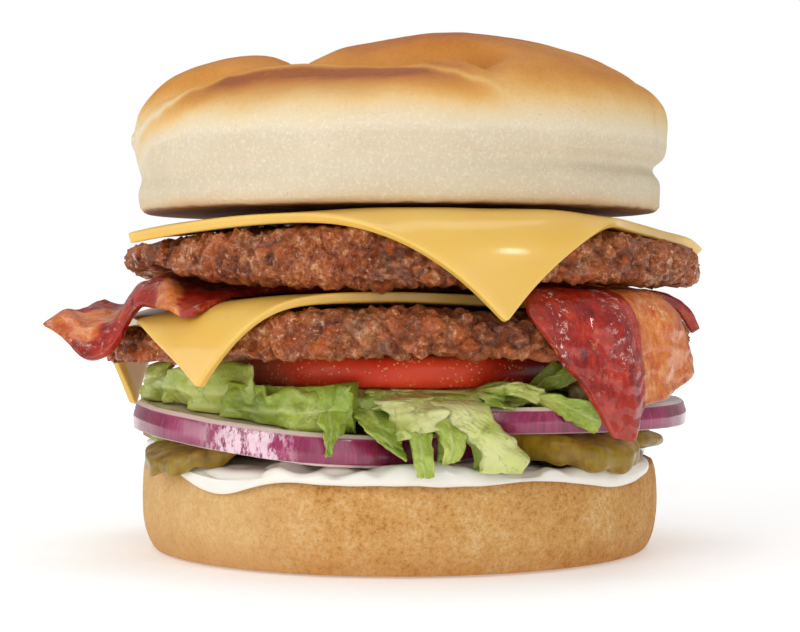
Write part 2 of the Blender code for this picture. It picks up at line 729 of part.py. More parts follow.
def crown_height(x, y):
    """The top of the crown: a dome that folds of dough part into lobes."""
    share = min(math.hypot(x, y) / CROWN_RADIUS, 1.0)
    dome = CROWN_RISE * (1 - share ** (2.1 + 0.7 * ramp(-x, 12.0, 40.0))) ** 0.52
    ahead = (y - through(FRONT_CREASE, x)) * 0.94
    lobe = ramp(-x, -26.0, 2.0)
    lower = 0.37 * lobe * ramp(-ahead, -1.6, 1.6)
    height = dome * (1 - lower)
    height += 0.9 * lobe * hump(ahead, -5.0, 5.0)
    height -= 8.6 * lobe * ramp(ahead, -1.6, 1.6) * hump(ahead, 0.0, 7.5) * (dome / CROWN_RISE)
    behind = ramp(ahead, 0.0, 8.0)
    height -= 4.8 * behind * hump(x, through(LEFT_CREASE, y), 4.6) * (dome / CROWN_RISE)
    height -= 1.7 * hump(x, through(RIGHT_CREASE, y), 3.6) * ramp(y, -24.0, -8.0)
    height -= 4.0 * hump(y, through(BACK_CREASE, x), 5.5) * ramp(x, -14.0, 2.0) * (dome / CROWN_RISE)
    height -= 2.4 * ramp(-x, -12.0, 12.0) * ramp(x, -24.0, -16.0) * dome / CROWN_RISE
    return CROWN_SHOULDER + height - 2.3 * hump(x, -31.0, 13.0)


def crown_bun(look, below):
    top_shares = (0.0, 0.12, 0.24, 0.34, 0.42, 0.5, 0.58, 0.67, 0.76, 0.85, 0.92, 0.97, 0.99)
    side = ((57.4, 88.0), (56.6, 84.0), (55.5, 80.0), (55.9, 76.0), (55.6, 72.4), (54.4, 71.1))

    def profile(angle):
        turn = math.radians(angle)
        swell = 0.5 * math.sin(2 * turn + 2.0) + 0.4 * math.sin(3 * turn)
        waist = 0.5 * round_hump(angle, 0, 60) - 0.3
        points = []
        for share in top_shares:
            r = share * CROWN_RADIUS
            z = crown_height(r * math.cos(turn), r * math.sin(turn))
            points.append((r + swell * share, z))
        for r, z in side:
            points.append((r + swell - waist * hump(z, 81.0, 4.0), z))
        return points + [(34.0, CROWN_BASE), (0.0, CROWN_BASE)]

    def lift(place):
        return Vector((0.0, 0.0, 1 - ramp(place.z, 76.0, 90.0)))

    return finish(round_mesh(profile, 44), "crown_bun", look, below, lift, 12.0)


def main():
    for old in list(bpy.data.objects):
        bpy.data.objects.remove(old)
    crust = material("crown_crust", (0.80, 0.52, 0.25), 0.6)
    crumb = material("heel_crumb", (0.76, 0.51, 0.26), 0.75)
    beef = material("seared_beef", (0.23, 0.10, 0.05), 0.5)
    melted = material("melted_cheese", (0.95, 0.60, 0.13), 0.35)
    fried = material("fried_bacon", (0.45, 0.09, 0.04), 0.3)
    tomato = material("tomato_flesh", (0.75, 0.08, 0.03), 0.25)
    onion = material("red_onion", (0.42, 0.06, 0.20), 0.3)
    leaf = material("lettuce_leaf", (0.33, 0.52, 0.08), 0.45)
    pickled = material("pickle_flesh", (0.33, 0.30, 0.05), 0.3)
    mayo = material("mayonnaise_white", (0.93, 0.91, 0.84), 0.3)

    heel_bun(crumb)
    mayonnaise(mayo)
    spread = ["heel_bun", "mayonnaise"]
    for chip in PICKLES:
        pickle_chip(pickled, chip, list(spread))
        spread.append(chip[0])
    for slice_of_onion in ONIONS:
        onion_slice(onion, slice_of_onion, list(spread))
        spread.append(slice_of_onion[0])
    lettuce(leaf, spread)
    tomato_slice(tomato, ["lettuce"])
    patty("patty_lower", beef, LOWER_PATTY_CENTRE, 62.0, lower_patty_top, lower_patty_base, 3,
          ["tomato_slice", "lettuce"])
    over_lower = ["patty_lower", "tomato_slice", "lettuce", *spread]
    cheese_slice(melted, LOWER_CHEESE, 58.0, lower_patty_top, lower_droop, over_lower)
    over_lower.append("cheese_lower")
    left_bacon(fried, over_lower)
    over_lower.append("bacon_left")
    right_bacon(fried, over_lower)
    over_lower.append("bacon_right")
    patty("patty_upper", beef, UPPER_PATTY_CENTRE, PATTY_RADIUS, upper_patty_top, upper_patty_base, 8,
          over_lower)
    cheese_slice(melted, UPPER_CHEESE, 57.0, upper_patty_top, upper_droop, ["patty_upper", *over_lower])
    crown_bun(crust, ["cheese_upper", "patty_upper"])


main()
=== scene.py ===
"""Looks of a double cheeseburger with bacon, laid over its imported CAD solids.

Lengths here are in millimetres; a mesh is made in metres. The front of the burger faces -Y.
"""

import math

import bpy
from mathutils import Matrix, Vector, noise
from mathutils.bvhtree import BVHTree


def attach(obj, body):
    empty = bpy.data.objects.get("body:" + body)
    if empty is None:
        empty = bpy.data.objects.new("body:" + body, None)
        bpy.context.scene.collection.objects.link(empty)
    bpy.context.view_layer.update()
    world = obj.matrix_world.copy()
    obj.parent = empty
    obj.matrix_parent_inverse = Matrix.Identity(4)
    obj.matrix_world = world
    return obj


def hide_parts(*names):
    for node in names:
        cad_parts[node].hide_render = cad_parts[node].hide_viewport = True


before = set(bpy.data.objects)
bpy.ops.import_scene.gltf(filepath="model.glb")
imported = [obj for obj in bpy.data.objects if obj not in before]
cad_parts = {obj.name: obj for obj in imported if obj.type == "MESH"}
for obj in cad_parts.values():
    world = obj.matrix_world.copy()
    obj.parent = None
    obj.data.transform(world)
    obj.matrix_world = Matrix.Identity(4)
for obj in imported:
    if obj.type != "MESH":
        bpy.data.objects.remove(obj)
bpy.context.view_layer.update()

MM = 0.001

# The folds of the crown, as in the source: the front one is given as y over x, the others as x over y
FRONT_CREASE = (
    (-57.0, -7.0), (-44.0, -18.0), (-30.0, -23.0), (-18.0, -25.5), (0.0, -28.0), (10.0, -32.0), (20.0, -42.0),
)
LEFT_CREASE = ((-26.0, -22.0), (0.0, -21.0), (16.0, -20.0), (34.0, -14.0), (56.0, -4.0))
FRONT_CREST = (
    # Height over x, along the roll that lies in front of the front crease
    (-57.0, 86.0), (-49.0, 90.6), (-46.7, 92.4), (-41.0, 95.8), (-34.0, 98.8), (-26.0, 100.2), (-19.0, 100.5),
    (-10.0, 100.2), (-2.0, 99.6), (3.6, 98.8), (9.7, 97.2), (14.3, 95.4), (24.0, 91.0),
)
RIGHT_CREASE = ((-20.0, 53.0), (-5.0, 46.0), (8.0, 40.0), (24.0, 30.0), (40.0, 20.0), (56.0, 12.0))
CROWN_GROOVE_HEIGHT = 80.4

# Middles of the two onion slices
ONION_CENTRES = {"onion_left": (-18.6, -16.6), "onion_right": (24.0, -12.0)}

# How far the lower cheese swells up to the bacon, and the bacon's lip hangs forwards and down
CHEESE_LIFT = 0.35
BACON_LIP_REACH = 15.0
BACON_LIP_DROP = 3.0

# Lettuce: its thickness, the room kept to its neighbours and the number of spare scraps all round
LEAF_THICKNESS = 0.45
LEAF_ROOM = 0.45
SCRAPS = 46

# Camera, as the photograph has it
CAMERA_PLACE = (0.0, -435.0, 56.0)
CAMERA_PITCH = 0.88
CAMERA_LENS = 90.6
CAMERA_SENSOR = 36.0

# Studio, in metres and watts: name, place, size, power and colour of each lamp
LAMPS = (
    ("key", (-0.62, -0.86, 0.62), 0.6, 3.1, (1.0, 0.985, 0.965)),
    ("right_glint", (0.62, -0.84, 0.66), 0.10, 1.1, (1.0, 0.98, 0.95)),
    ("left_glint", (-0.70, -0.80, 0.11), 0.16, 0.35, (1.0, 1.0, 1.0)),
    ("side", (-0.95, -0.22, 0.16), 0.4, 1.3, (1.0, 1.0, 1.0)),
    ("front", (0.40, -1.20, 0.30), 0.6, 1.5, (1.0, 1.0, 1.0)),
    ("top", (0.0, 0.15, 1.2), 0.9, 5.4, (1.0, 1.0, 1.0)),
)
LAMP_TARGET = (0.0, 0.0, 0.05)
SKY_STRENGTH = 0.36
FLOOR_SIZE = 6.0


# Shape helpers

def smooth(share):
    share = min(max(share, 0.0), 1.0)
    return share * share * (3 - 2 * share)


def ramp(value, low, high):
    """0 below low, 1 above high and smooth in between."""
    return smooth((value - low) / (high - low))


def hump(value, centre, width):
    return math.exp(-(((value - centre) / width) ** 2))


def grain(place, size, seed):
    """Smooth noise from about -1 to 1 with features of a size, both in millimetres."""
    return noise.noise(place / size + Vector((seed * 7.3, -seed * 3.1, seed * 1.7)))


def lumps(place, size, seed):
    """Rounded grains packed side by side: 1 on a grain's middle and 0 in the seams between grains."""
    spread = noise.voronoi(place / size + Vector((seed * 5.1, seed * 2.3, -seed)))[0]
    return min(spread[1] - spread[0], 0.6) / 0.6


def spline(points, share):
    """A point of the smooth curve through points, with share from 0 to 1 along it."""
    last = len(points) - 1
    place = min(max(share, 0.0), 1.0) * last
    index = min(int(place), last - 1)
    part = place - index
    before, start, end, after = (
        Vector(points[min(max(index + step, 0), last)]) for step in (-1, 0, 1, 2)
    )
    return 0.5 * (
        2 * start
        + (end - before) * part
        + (2 * before - 5 * start + 4 * end - after) * part**2
        + (3 * start - before - 3 * end + after) * part**3
    )


def pick_only(piece):
    bpy.ops.object.select_all(action="DESELECT")
    piece.select_set(True)
    bpy.context.view_layer.objects.active = piece


def apply_modifier(piece, kind, **settings):
    pick_only(piece)
    made = piece.modifiers.new(kind.lower(), kind)
    for name, value in settings.items():
        setattr(made, name, value)
    bpy.ops.object.modifier_apply(modifier=made.name)


def refine(piece, levels):
    apply_modifier(piece, "SUBSURF", levels=levels, render_levels=levels)


def own_copy(node, name, levels, sharp=None, crisp=0.85):
    """A copy of a CAD node with its triangles joined into quads and rounded off.

    Edges that turn by more than sharp degrees keep crisp."""
    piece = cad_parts[node].copy()
    piece.data = piece.data.copy()
    piece.name = name
    piece.data.name = name
    piece.parent = None
    for key in list(piece.keys()):
        del piece[key]
    bpy.context.scene.collection.objects.link(piece)
    pick_only(piece)
    bpy.ops.object.mode_set(mode="EDIT")
    bpy.ops.mesh.select_all(action="SELECT")
    bpy.ops.mesh.remove_doubles(threshold=0.00001)
    bpy.ops.mesh.tris_convert_to_quads(face_threshold=math.pi, shape_threshold=math.pi)
    if sharp:
        bpy.ops.mesh.select_mode(type="EDGE")
        bpy.ops.mesh.select_all(action="DESELECT")
        bpy.ops.mesh.edges_select_sharp(sharpness=math.radians(sharp))
        bpy.ops.transform.edge_crease(value=crisp)
    bpy.ops.object.mode_set(mode="OBJECT")
    if levels:
        refine(piece, levels)
    piece.data.shade_smooth()
    return piece


def tree_of(piece):
    """A search tree of a piece's faces, in millimetres."""
    points = [point.co / MM for point in piece.data.vertices]
    return BVHTree.FromPolygons(points, [tuple(face.vertices) for face in piece.data.polygons])


def skin(node, name, middle, radius, half, segments, rings, side_share, levels=2, sharp=None):
    """A fine even skin laid over a round CAD node, with most of its rings round the side.

    middle is a point inside it, and radius and half are about its radius and half its height."""
    rough = own_copy(node, name + "_rough", levels, sharp)
    tree = tree_of(rough)
    bpy.data.objects.remove(rough)
    bpy.ops.object.select_all(action="DESELECT")
    bpy.ops.mesh.primitive_uv_sphere_add(segments=segments, ring_count=rings, radius=1.0)
    piece = bpy.context.object
    piece.name = name
    piece.data.name = name
    middle = Vector(middle)
    flat = (1 - side_share) / 2
    for point in piece.data.vertices:
        share = math.acos(min(max(point.co.z, -1.0), 1.0)) / math.pi
        turn = math.atan2(point.co.y, point.co.x)
        if share < flat:
            reach, rise = radius * share / flat, half
        elif share > 1 - flat:
            reach, rise = radius * (1 - share) / flat, -half
        else:
            reach, rise = radius, half * (1 - 2 * (share - flat) / side_share)
        way = Vector((reach * math.cos(turn), reach * math.sin(turn), rise)).normalized()
        point.co = (tree.ray_cast(middle, way)[0] or middle) * MM
    piece.data.update()
    piece.data.shade_smooth()
    return piece


def sculpt(piece, move):
    """Moves each point of a piece by move(place, normal), which is given and gives millimetres."""
    points = piece.data.vertices
    moves = [move(point.co / MM, point.normal.copy()) for point in points]
    for point, shift in zip(points, moves):
        point.co += shift * MM
    piece.data.update()


def paint_points(piece, name, amount):
    """Keeps amount(place, normal) at each point of a piece, as an attribute that a material reads."""
    layer = piece.data.attributes.new(name, "FLOAT", "POINT")
    for point in piece.data.vertices:
        layer.data[point.index].value = amount(point.co / MM, point.normal)


def dress(piece, node, look):
    """Gives a finished piece its material and its place in the frame."""
    piece.data.materials.clear()
    piece.data.materials.append(look)
    for face in piece.data.polygons:
        face.material_index = 0
    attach(piece, "root")
    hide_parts(node)


# Materials

class Value:
    """A socket with a number, on which arithmetic adds Math nodes."""

    def __init__(self, finish, socket):
        self.finish = finish
        self.socket = socket

    def _math(self, operation, first, second):
        return self.finish.add("ShaderNodeMath", {0: first, 1: second}, operation=operation)

    def __add__(self, other):
        return self._math("ADD", self, other)

    __radd__ = __add__

    def __mul__(self, other):
        return self._math("MULTIPLY", self, other)

    __rmul__ = __mul__

    def __sub__(self, other):
        return self._math("SUBTRACT", self, other)

    def __rsub__(self, other):
        return self._math("SUBTRACT", other, self)

    def at_most(self, other):
        return self._math("MINIMUM", self, other)

    def between(self, low, high):
        """0 below low, 1 above high and smooth in between; low may be the larger one."""
        return self.finish.add(
            "ShaderNodeMapRange", {0: self, 1: low, 2: high, 3: 0.0, 4: 1.0}, interpolation_type="SMOOTHSTEP"
        )


class Finish:
    """A material under construction, with one Principled shader."""

    def __init__(self, name):
        self.material = bpy.data.materials.new(name)
        self.material.use_nodes = True
        self.tree = self.material.node_tree
        self.shader = self.tree.nodes["Principled BSDF"]
        self.object_place = self.add("ShaderNodeTexCoord", {}, output="Object")

    def add(self, kind, inputs, output=0, stops=None, **settings):
        """Adds a node with its settings and inputs, and gives its output."""
        node = self.tree.nodes.new(kind)
        for name, value in settings.items():
            setattr(node, name, value)
        if stops:
            bar = node.color_ramp
            while len(bar.elements) < len(stops):
                bar.elements.new(0.5)
            for element, (place, colour) in zip(bar.elements, stops):
                element.position = place
                element.color = (*colour, 1.0)
        for name, value in inputs.items():
            self.feed(node.inputs[name], value)
        return Value(self, node.outputs[output])

    def feed(self, socket, value):
        if isinstance(value, Value):
            self.tree.links.new(value.socket, socket)
        elif isinstance(value, tuple) and len(value) == 3 and len(socket.default_value) == 4:
            socket.default_value = (*value, 1.0)
        else:
            socket.default_value = value

    def set(self, **values):
        """Sets inputs of the Principled shader, with spaces written as underscores."""
        for name, value in values.items():
            self.feed(self.shader.inputs[name.replace("_", " ")], value)
        return self.material

    def stretched(self, x, y, z):
        return self.add("ShaderNodeMapping", {"Vector": self.object_place, "Scale": (x, y, z)})

    def noise(self, size, detail=2.0, rough=0.5, place=None, warp=0.0):
        """Cloudy noise with features of about size millimetres."""
        return self.add(
            "ShaderNodeTexNoise",
            {
                "Vector": place or self.object_place, "Scale": 1 / (size * MM), "Detail": detail,
                "Roughness": rough, "Distortion": warp,
            },
            normalize=True,
        )

    def cells(self, size, feature="F1"):
        inputs = {"Vector": self.object_place, "Scale": 1 / (size * MM)}
        return self.add("ShaderNodeTexVoronoi", inputs, feature=feature)

    def attribute(self, name):
        return self.add("ShaderNodeAttribute", {}, output="Fac", attribute_name=name)

    def part_of(self, vector, axis):
        """The x, y or z of a vector, in millimetres where the vector is a place."""
        return self.add("ShaderNodeSeparateXYZ", {0: vector}, output=axis) * (1 / MM)

    def mix(self, share, low, high, blend="MIX"):
        return self.add(
            "ShaderNodeMix", {0: share, 6: low, 7: high}, output=2, data_type="RGBA", blend_type=blend
        )

    def ramp(self, value, *stops):
        return self.add("ShaderNodeValToRGB", {0: value}, stops=stops)

    def bump(self, height, distance, strength=1.0, normal=None):
        """A normal from a height of 0 to 1 that stands for distance millimetres."""
        inputs = {"Height": height, "Distance": distance * MM, "Strength": strength}
        if normal:
            inputs["Normal"] = normal
        return self.add("ShaderNodeBump", inputs)


def rgb(red, green, blue):
    """A colour as it is seen on a screen, from 0 to 255, made linear for a shader."""
    seen = [channel / 255 for channel in (red, green, blue)]
    return tuple(c / 12.92 if c <= 0.04045 else ((c + 0.055) / 1.055) ** 2.4 for c in seen)


def crust_look():
    look = Finish("golden_crust")
    # Browning of the crust, with painted highlights and painted shade along the front crease
    baked = look.attribute("baked")
    mottle = look.noise(13.0, 3.0, 0.6)
    fine = look.noise(1.1, 4.0, 0.7)
    tone = baked + ((mottle - 0.5) * 0.20 + (fine - 0.5) * 0.14) * baked.between(-0.1, 0.35)
    colour = look.ramp(
        tone,
        (0.0, rgb(218, 204, 176)), (0.10, rgb(228, 214, 186)), (0.26, rgb(231, 208, 166)),
        (0.42, rgb(232, 194, 132)), (0.56, rgb(224, 172, 98)), (0.70, rgb(214, 150, 70)),
        (0.82, rgb(202, 132, 54)), (0.93, rgb(184, 108, 40)), (1.0, rgb(160, 86, 28)),
    )
    band = look.noise(10.0, 4.0, 0.7).between(0.42, 0.62)
    colour = look.mix(band * baked.between(0.12, 0.0) * 0.35, colour, rgb(212, 196, 164))
    dust = look.noise(0.7, 3.0, 0.8).between(0.50, 0.64)
    colour = look.mix(dust * baked.between(0.45, 0.05) * 0.3, colour, rgb(250, 244, 228))
    specks = look.noise(1.0, 3.0, 0.8).between(0.62, 0.70)
    colour = look.mix(specks * 0.22, colour, rgb(150, 96, 50))
    warm = look.attribute("warm")
    colour = look.mix(warm * 0.35, colour, rgb(226, 184, 126))
    toasted = look.attribute("toasted")
    colour = look.mix(toasted * 0.85, colour, rgb(128, 66, 24))
    skin = look.bump(look.noise(0.8, 4.0, 0.8), 0.3, 0.8)
    skin = look.bump(look.noise(5.0, 3.0, 0.5), 0.35, 0.4, skin)
    shine = 0.70 - baked * 0.24 + (fine - 0.5) * 0.12
    return look.set(
        Base_Color=colour, Roughness=shine, Normal=skin, Specular_IOR_Level=0.22, Subsurface_Weight=0.05,
        Subsurface_Radius=(0.8, 0.5, 0.25), Subsurface_Scale=0.002,
    )


def heel_look():
    look = Finish("heel_bread")
    height = look.part_of(look.object_place, 2)
    fine = look.noise(0.8, 4.0, 0.85)
    middling = look.noise(1.6, 3.0, 0.7)
    tone = look.noise(9.0, 3.0, 0.6)
    colour = look.ramp(
        tone * 0.3 + fine * 0.45 + middling * 0.25,
        (0.36, rgb(186, 120, 54)), (0.45, rgb(218, 160, 88)),
        (0.54, rgb(232, 180, 110)), (0.63, rgb(248, 216, 162)),
    )
    specks = look.noise(0.8, 2.0, 0.6).between(0.60, 0.68)
    colour = look.mix(specks * 0.3, colour, rgb(176, 112, 50))
    # Painted light: the left side of the heel is lightened towards pale tan
    side = look.part_of(look.object_place, 0)
    colour = look.mix(side.between(-12.0, -34.0) * 0.45, colour, rgb(246, 208, 148))
    rim = look.attribute("toasted") * (0.4 + look.noise(1.0, 3.0, 0.7) * 0.9)
    colour = look.mix(rim.at_most(0.9), colour, rgb(122, 62, 22))
    colour = look.mix(height.between(9.0, 0.0) * 0.4, colour, rgb(196, 128, 66))
    crumb = look.bump(fine, 0.5, 1.0)
    crumb = look.bump(middling, 0.2, 0.5, crumb)
    return look.set(Base_Color=colour, Roughness=0.75, Normal=crumb, Specular_IOR_Level=0.22)


def beef_look():
    look = Finish("seared_ground_beef")
    patches = look.noise(8.0, 4.0, 0.7)
    middling = look.noise(2.6, 4.0, 0.75, warp=0.7)
    fine = look.noise(0.9, 4.0, 0.85)
    crumbs = look.cells(1.3, "SMOOTH_F1")
    deep = look.attribute("deep")
    colour = look.ramp(
        patches * 0.25 + middling * 0.35 + fine * 0.4,
        (0.37, rgb(62, 22, 6)), (0.43, rgb(130, 56, 20)), (0.50, rgb(184, 96, 42)), (0.56, rgb(222, 146, 90)),
        (0.63, rgb(248, 212, 176)),
    )
    rust = look.noise(6.0, 3.0, 0.6, warp=0.4).between(0.48, 0.62)
    colour = look.mix(rust * 0.5, colour, rgb(206, 92, 22))
    char = look.noise(6.5, 5.0, 0.8).between(0.55, 0.64)
    colour = look.mix(char * 0.35, colour, rgb(60, 26, 12))
    # Near-white specks scattered over the meat
    fatty = look.noise(1.8, 4.0, 0.8).between(0.60, 0.68)
    colour = look.mix(fatty * 0.8, colour, rgb(250, 214, 180))
    # Painted shade: darker where the sculpted surface lies low, in the crevices
    colour = look.mix(deep * 0.75, colour, rgb(54, 20, 10))
    surface = look.bump(1 - crumbs, 0.5, 0.8)
    surface = look.bump(fine, 0.9, 1.0, surface)
    wet = look.noise(2.0, 3.0, 0.7).between(0.46, 0.58)
    return look.set(
        Base_Color=colour, Roughness=0.55 - wet * 0.25, Normal=surface, Specular_IOR_Level=0.4,
        Coat_Weight=wet * 0.6, Coat_Roughness=0.12,
    )


def cheese_look():
    look = Finish("melted_cheese")
    tone = look.noise(24.0, 2.0)
    rim = look.attribute("rim")
    colour = look.mix(tone.between(0.3, 0.7), rgb(228, 178, 74), rgb(234, 190, 88))
    # Painted highlight: the rims are lightened
    colour = look.mix(rim * 0.6, colour, rgb(246, 214, 128))
    skin = look.bump(look.noise(5.0, 2.0), 0.25, 0.35)
    return look.set(
        Base_Color=colour, Roughness=0.38, Normal=skin, Specular_IOR_Level=0.45, Subsurface_Weight=0.25,
        Subsurface_Radius=(1.0, 0.55, 0.15), Subsurface_Scale=0.004, Coat_Weight=0.4, Coat_Roughness=0.12,
    )


def bacon_look():
    look = Finish("fried_bacon")
    streak = look.attribute("streak")
    along = look.attribute("along")
    where = look.add("ShaderNodeCombineXYZ", {0: streak * 0.001, 1: along * 0.00022, 2: 0.0})
    bands = look.noise(4.0, 3.0, 0.6, place=where)
    fibres = look.noise(0.9, 3.0, 0.7, place=where)
    blotch = look.noise(4.5, 3.0, 0.65)
    fat = (look.attribute("fat") + (bands - 0.5) * 0.8 + (blotch - 0.5) * 0.4).between(0.40, 0.60)
    lean = look.ramp(
        fibres * 0.4 + blotch * 0.6,
        (0.30, rgb(84, 4, 0)), (0.44, rgb(144, 16, 2)), (0.56, rgb(180, 36, 10)), (0.70, rgb(200, 80, 40)),
    )
    rind = look.ramp(
        look.noise(3.6, 4.0, 0.7) * 0.6 + fibres * 0.4,
        (0.30, rgb(160, 56, 16)), (0.44, rgb(206, 98, 34)),
        (0.56, rgb(224, 134, 62)), (0.70, rgb(238, 178, 116)),
    )
    colour = look.mix(fat, lean, rind)
    crisp = look.attribute("rim") * look.noise(2.2, 3.0, 0.7).between(0.34, 0.56)
    colour = look.mix(crisp * 0.75, colour, rgb(116, 26, 10))
    spots = look.noise(2.0, 4.0, 0.8).between(0.58, 0.66)
    colour = look.mix(spots * 0.3, colour, rgb(238, 160, 120))
    colour = look.mix(look.attribute("turned") * 0.55, colour, rgb(170, 56, 36))
    # Painted highlights: pale streaks along ridges, broken up by noise
    sheen = look.attribute("sheen") * look.noise(1.4, 4.0, 0.8).between(0.56, 0.62)
    colour = look.mix(sheen * 0.8, colour, rgb(250, 226, 214))
    surface = look.bump(fibres, 0.35, 0.7)
    surface = look.bump(look.noise(2.6, 3.0, 0.6), 0.8, 0.8, surface)
    return look.set(
        Base_Color=colour, Roughness=0.30 + blotch * 0.22, Normal=surface, Specular_IOR_Level=0.28,
        Subsurface_Weight=0.05, Subsurface_Radius=(1.0, 0.3, 0.15), Subsurface_Scale=0.002,
        Coat_Weight=0.7, Coat_Roughness=0.09,
    )


def tomato_look():
    look = Finish("tomato_skin")
    tone = look.noise(14.0, 3.0, 0.6)
    side = look.part_of(look.object_place, 0)
    colour = look.mix(tone.between(0.3, 0.7), rgb(222, 50, 24), rgb(238, 78, 44))
    # Painted reflection: a pale soft patch over the left part of the slice
    dull = look.noise(22.0, 2.0).between(0.42, 0.58) * side.between(-8.0, -24.0)
    colour = look.mix(dull * 0.55, colour, rgb(212, 112, 80))
    # Painted light: the left end is lightened
    colour = look.mix(side.between(-20.0, -36.0) * 0.6, colour, rgb(250, 140, 104))
    # Painted shade: the right end is darkened
    colour = look.mix(side.between(12.0, 30.0) * 0.75, colour, rgb(104, 14, 8))
    # Droplets: small bumps, with painted glints on them in the colour
    some = look.noise(5.0, 3.0).between(0.40, 0.54)
    drops = look.cells(0.9).between(0.30, 0.18) * some
    colour = look.mix(drops * 0.9, colour, rgb(255, 176, 116))
    wet = look.bump(drops, 0.12, 0.5)
    return look.set(
        Base_Color=colour, Roughness=0.40, Normal=wet, Specular_IOR_Level=0.2, Subsurface_Weight=0.12,
        Subsurface_Radius=(1.0, 0.2, 0.1), Subsurface_Scale=0.004, Coat_Weight=0.15, Coat_Roughness=0.08,
    )


def lettuce_look():
    look = Finish("crisp_lettuce")
    tint = look.attribute("tint")
    cloud = look.noise(9.0, 3.0, 0.6)
    colour = look.ramp(
        tint * 0.65 + cloud * 0.35,
        (0.16, rgb(104, 128, 30)), (0.34, rgb(150, 172, 58)), (0.5, rgb(182, 196, 92)),
        (0.64, rgb(208, 216, 134)), (0.85, rgb(228, 230, 176)),
    )
    veins = look.attribute("rib")
    colour = look.mix(veins * 0.35, colour, rgb(226, 232, 172))
    # Painted shade: thin darker green lines, standing in for shade in folds
    creases = look.noise(3.4, 3.0, 0.7, warp=0.6).between(0.54, 0.62)
    colour = look.mix(creases * 0.45, colour, rgb(112, 136, 36))
    surface = look.bump(veins, 0.35, 0.6)
    surface = look.bump(look.noise(2.6, 3.0, 0.6), 0.8, 0.7, surface)
    return look.set(
        Base_Color=colour, Roughness=0.36, Normal=surface, Specular_IOR_Level=0.5,
        Subsurface_Weight=0.35, Subsurface_Radius=(0.5, 0.8, 0.15), Subsurface_Scale=0.003,
    )


def onion_look():
    look = Finish("red_onion")
    inner = look.attribute("cut")
    fibre = look.noise(0.8, 3.0, 0.7, place=look.stretched(1.0, 1.0, 0.05))
    tone = look.noise(9.0, 2.0, place=look.stretched(1.0, 1.0, 0.3))
    height = look.attribute("height")
    skin = look.ramp(
        fibre * 0.5 + tone * 0.5,
        (0.30, rgb(92, 8, 42)), (0.44, rgb(134, 18, 70)), (0.56, rgb(162, 36, 94)), (0.72, rgb(192, 92, 138)),
    )
    # Painted shade: the skin darkens towards the bottom of its band
    skin = look.mix(height.between(0.30, 0.0) * 0.5, skin, rgb(96, 12, 48))
    # Painted light: the skin lightens towards the top of its band
    skin = look.mix(height.between(0.78, 1.0) * 0.55, skin, rgb(214, 128, 164))
    side = look.part_of(look.object_place, 0)
    front = look.part_of(look.object_place, 1)
    # Painted highlight: a pale streaky gloss patch on the front left of the skin
    pearl = side.between(-40.0, -33.0) * side.between(-18.0, -25.0) * front.between(-34.0, -42.0)
    streaks = look.noise(2.2, 4.0, 0.8, place=look.stretched(1.0, 1.0, 0.4)).between(0.42, 0.54)
    skin = look.mix(pearl * streaks * 0.8, skin, rgb(252, 222, 234))
    flesh = look.ramp(
        look.attribute("ring"),
        (0.0, rgb(238, 216, 208)), (0.8, rgb(226, 186, 194)), (1.0, rgb(166, 60, 112)),
    )
    colour = look.mix(inner, skin, flesh)
    surface = look.bump(fibre, 0.12, 0.5)
    surface = look.bump(look.noise(1.2, 2.0), 0.1, 0.5, surface)
    return look.set(
        Base_Color=colour, Roughness=0.26, Normal=surface, Specular_IOR_Level=0.5, Coat_Weight=0.7,
        Coat_Roughness=0.14, Subsurface_Weight=0.12, Subsurface_Radius=(0.8, 0.4, 0.5),
        Subsurface_Scale=0.002,
    )


def pickle_look():
    look = Finish("pickled_cucumber")
    flow = look.noise(2.2, 3.0, 0.6, place=look.stretched(1.0, 1.0, 0.35))
    tone = look.noise(7.0, 3.0, 0.6)
    colour = look.ramp(
        tone * 0.5 + flow * 0.5,
        (0.30, rgb(98, 70, 4)), (0.43, rgb(146, 110, 10)),
        (0.55, rgb(178, 142, 24)), (0.70, rgb(208, 178, 62)),
    )
    colour = look.mix(look.attribute("skin") * 0.35, colour, rgb(92, 78, 14))
    surface = look.bump(flow, 0.35, 0.6)
    surface = look.bump(look.noise(0.8, 3.0, 0.6), 0.15, 0.5, surface)
    return look.set(
        Base_Color=colour, Roughness=0.34, Normal=surface, Specular_IOR_Level=0.35, Coat_Weight=0.25,
        Coat_Roughness=0.12, Subsurface_Weight=0.2, Subsurface_Radius=(0.9, 0.7, 0.15),
        Subsurface_Scale=0.003,
    )


def mayonnaise_look():
    look = Finish("mayonnaise")
    tone = look.noise(8.0, 2.0)
    colour = look.mix(tone, rgb(244, 240, 226), rgb(250, 248, 238))
    surface = look.bump(look.noise(4.0, 2.0), 0.35, 0.35)
    return look.set(
        Base_Color=colour, Roughness=0.28, Normal=surface, Specular_IOR_Level=0.5, Subsurface_Weight=0.3,
        Subsurface_Radius=(1.0, 0.9, 0.7), Subsurface_Scale=0.003, Coat_Weight=0.3, Coat_Roughness=0.15,
    )


# Pieces

def curve_gap(points, place, along=0):
    """How far a place lies beyond a crease, which is a list of (place along an axis, place across)."""
    here, across = (place.x, place.y) if along == 0 else (place.y, place.x)
    if here <= points[0][0]:
        return across - points[0][1]
    for (start, low), (end, high) in zip(points, points[1:]):
        if here <= end:
            return across - (low + (high - low) * smooth((here - start) / (end - start)))
    return across - points[-1][1]


def held_at(place):
    """How much of the front fold of the crown there is at a place."""
    return ramp(place.x, -62.0, -52.0) * ramp(-place.x, -23.0, -10.0)


def crest_at(place):
    """The height of the front roll's crest, at the x of a place."""
    return -curve_gap(FRONT_CREST, Vector((place.x, 0.0, 0.0)))


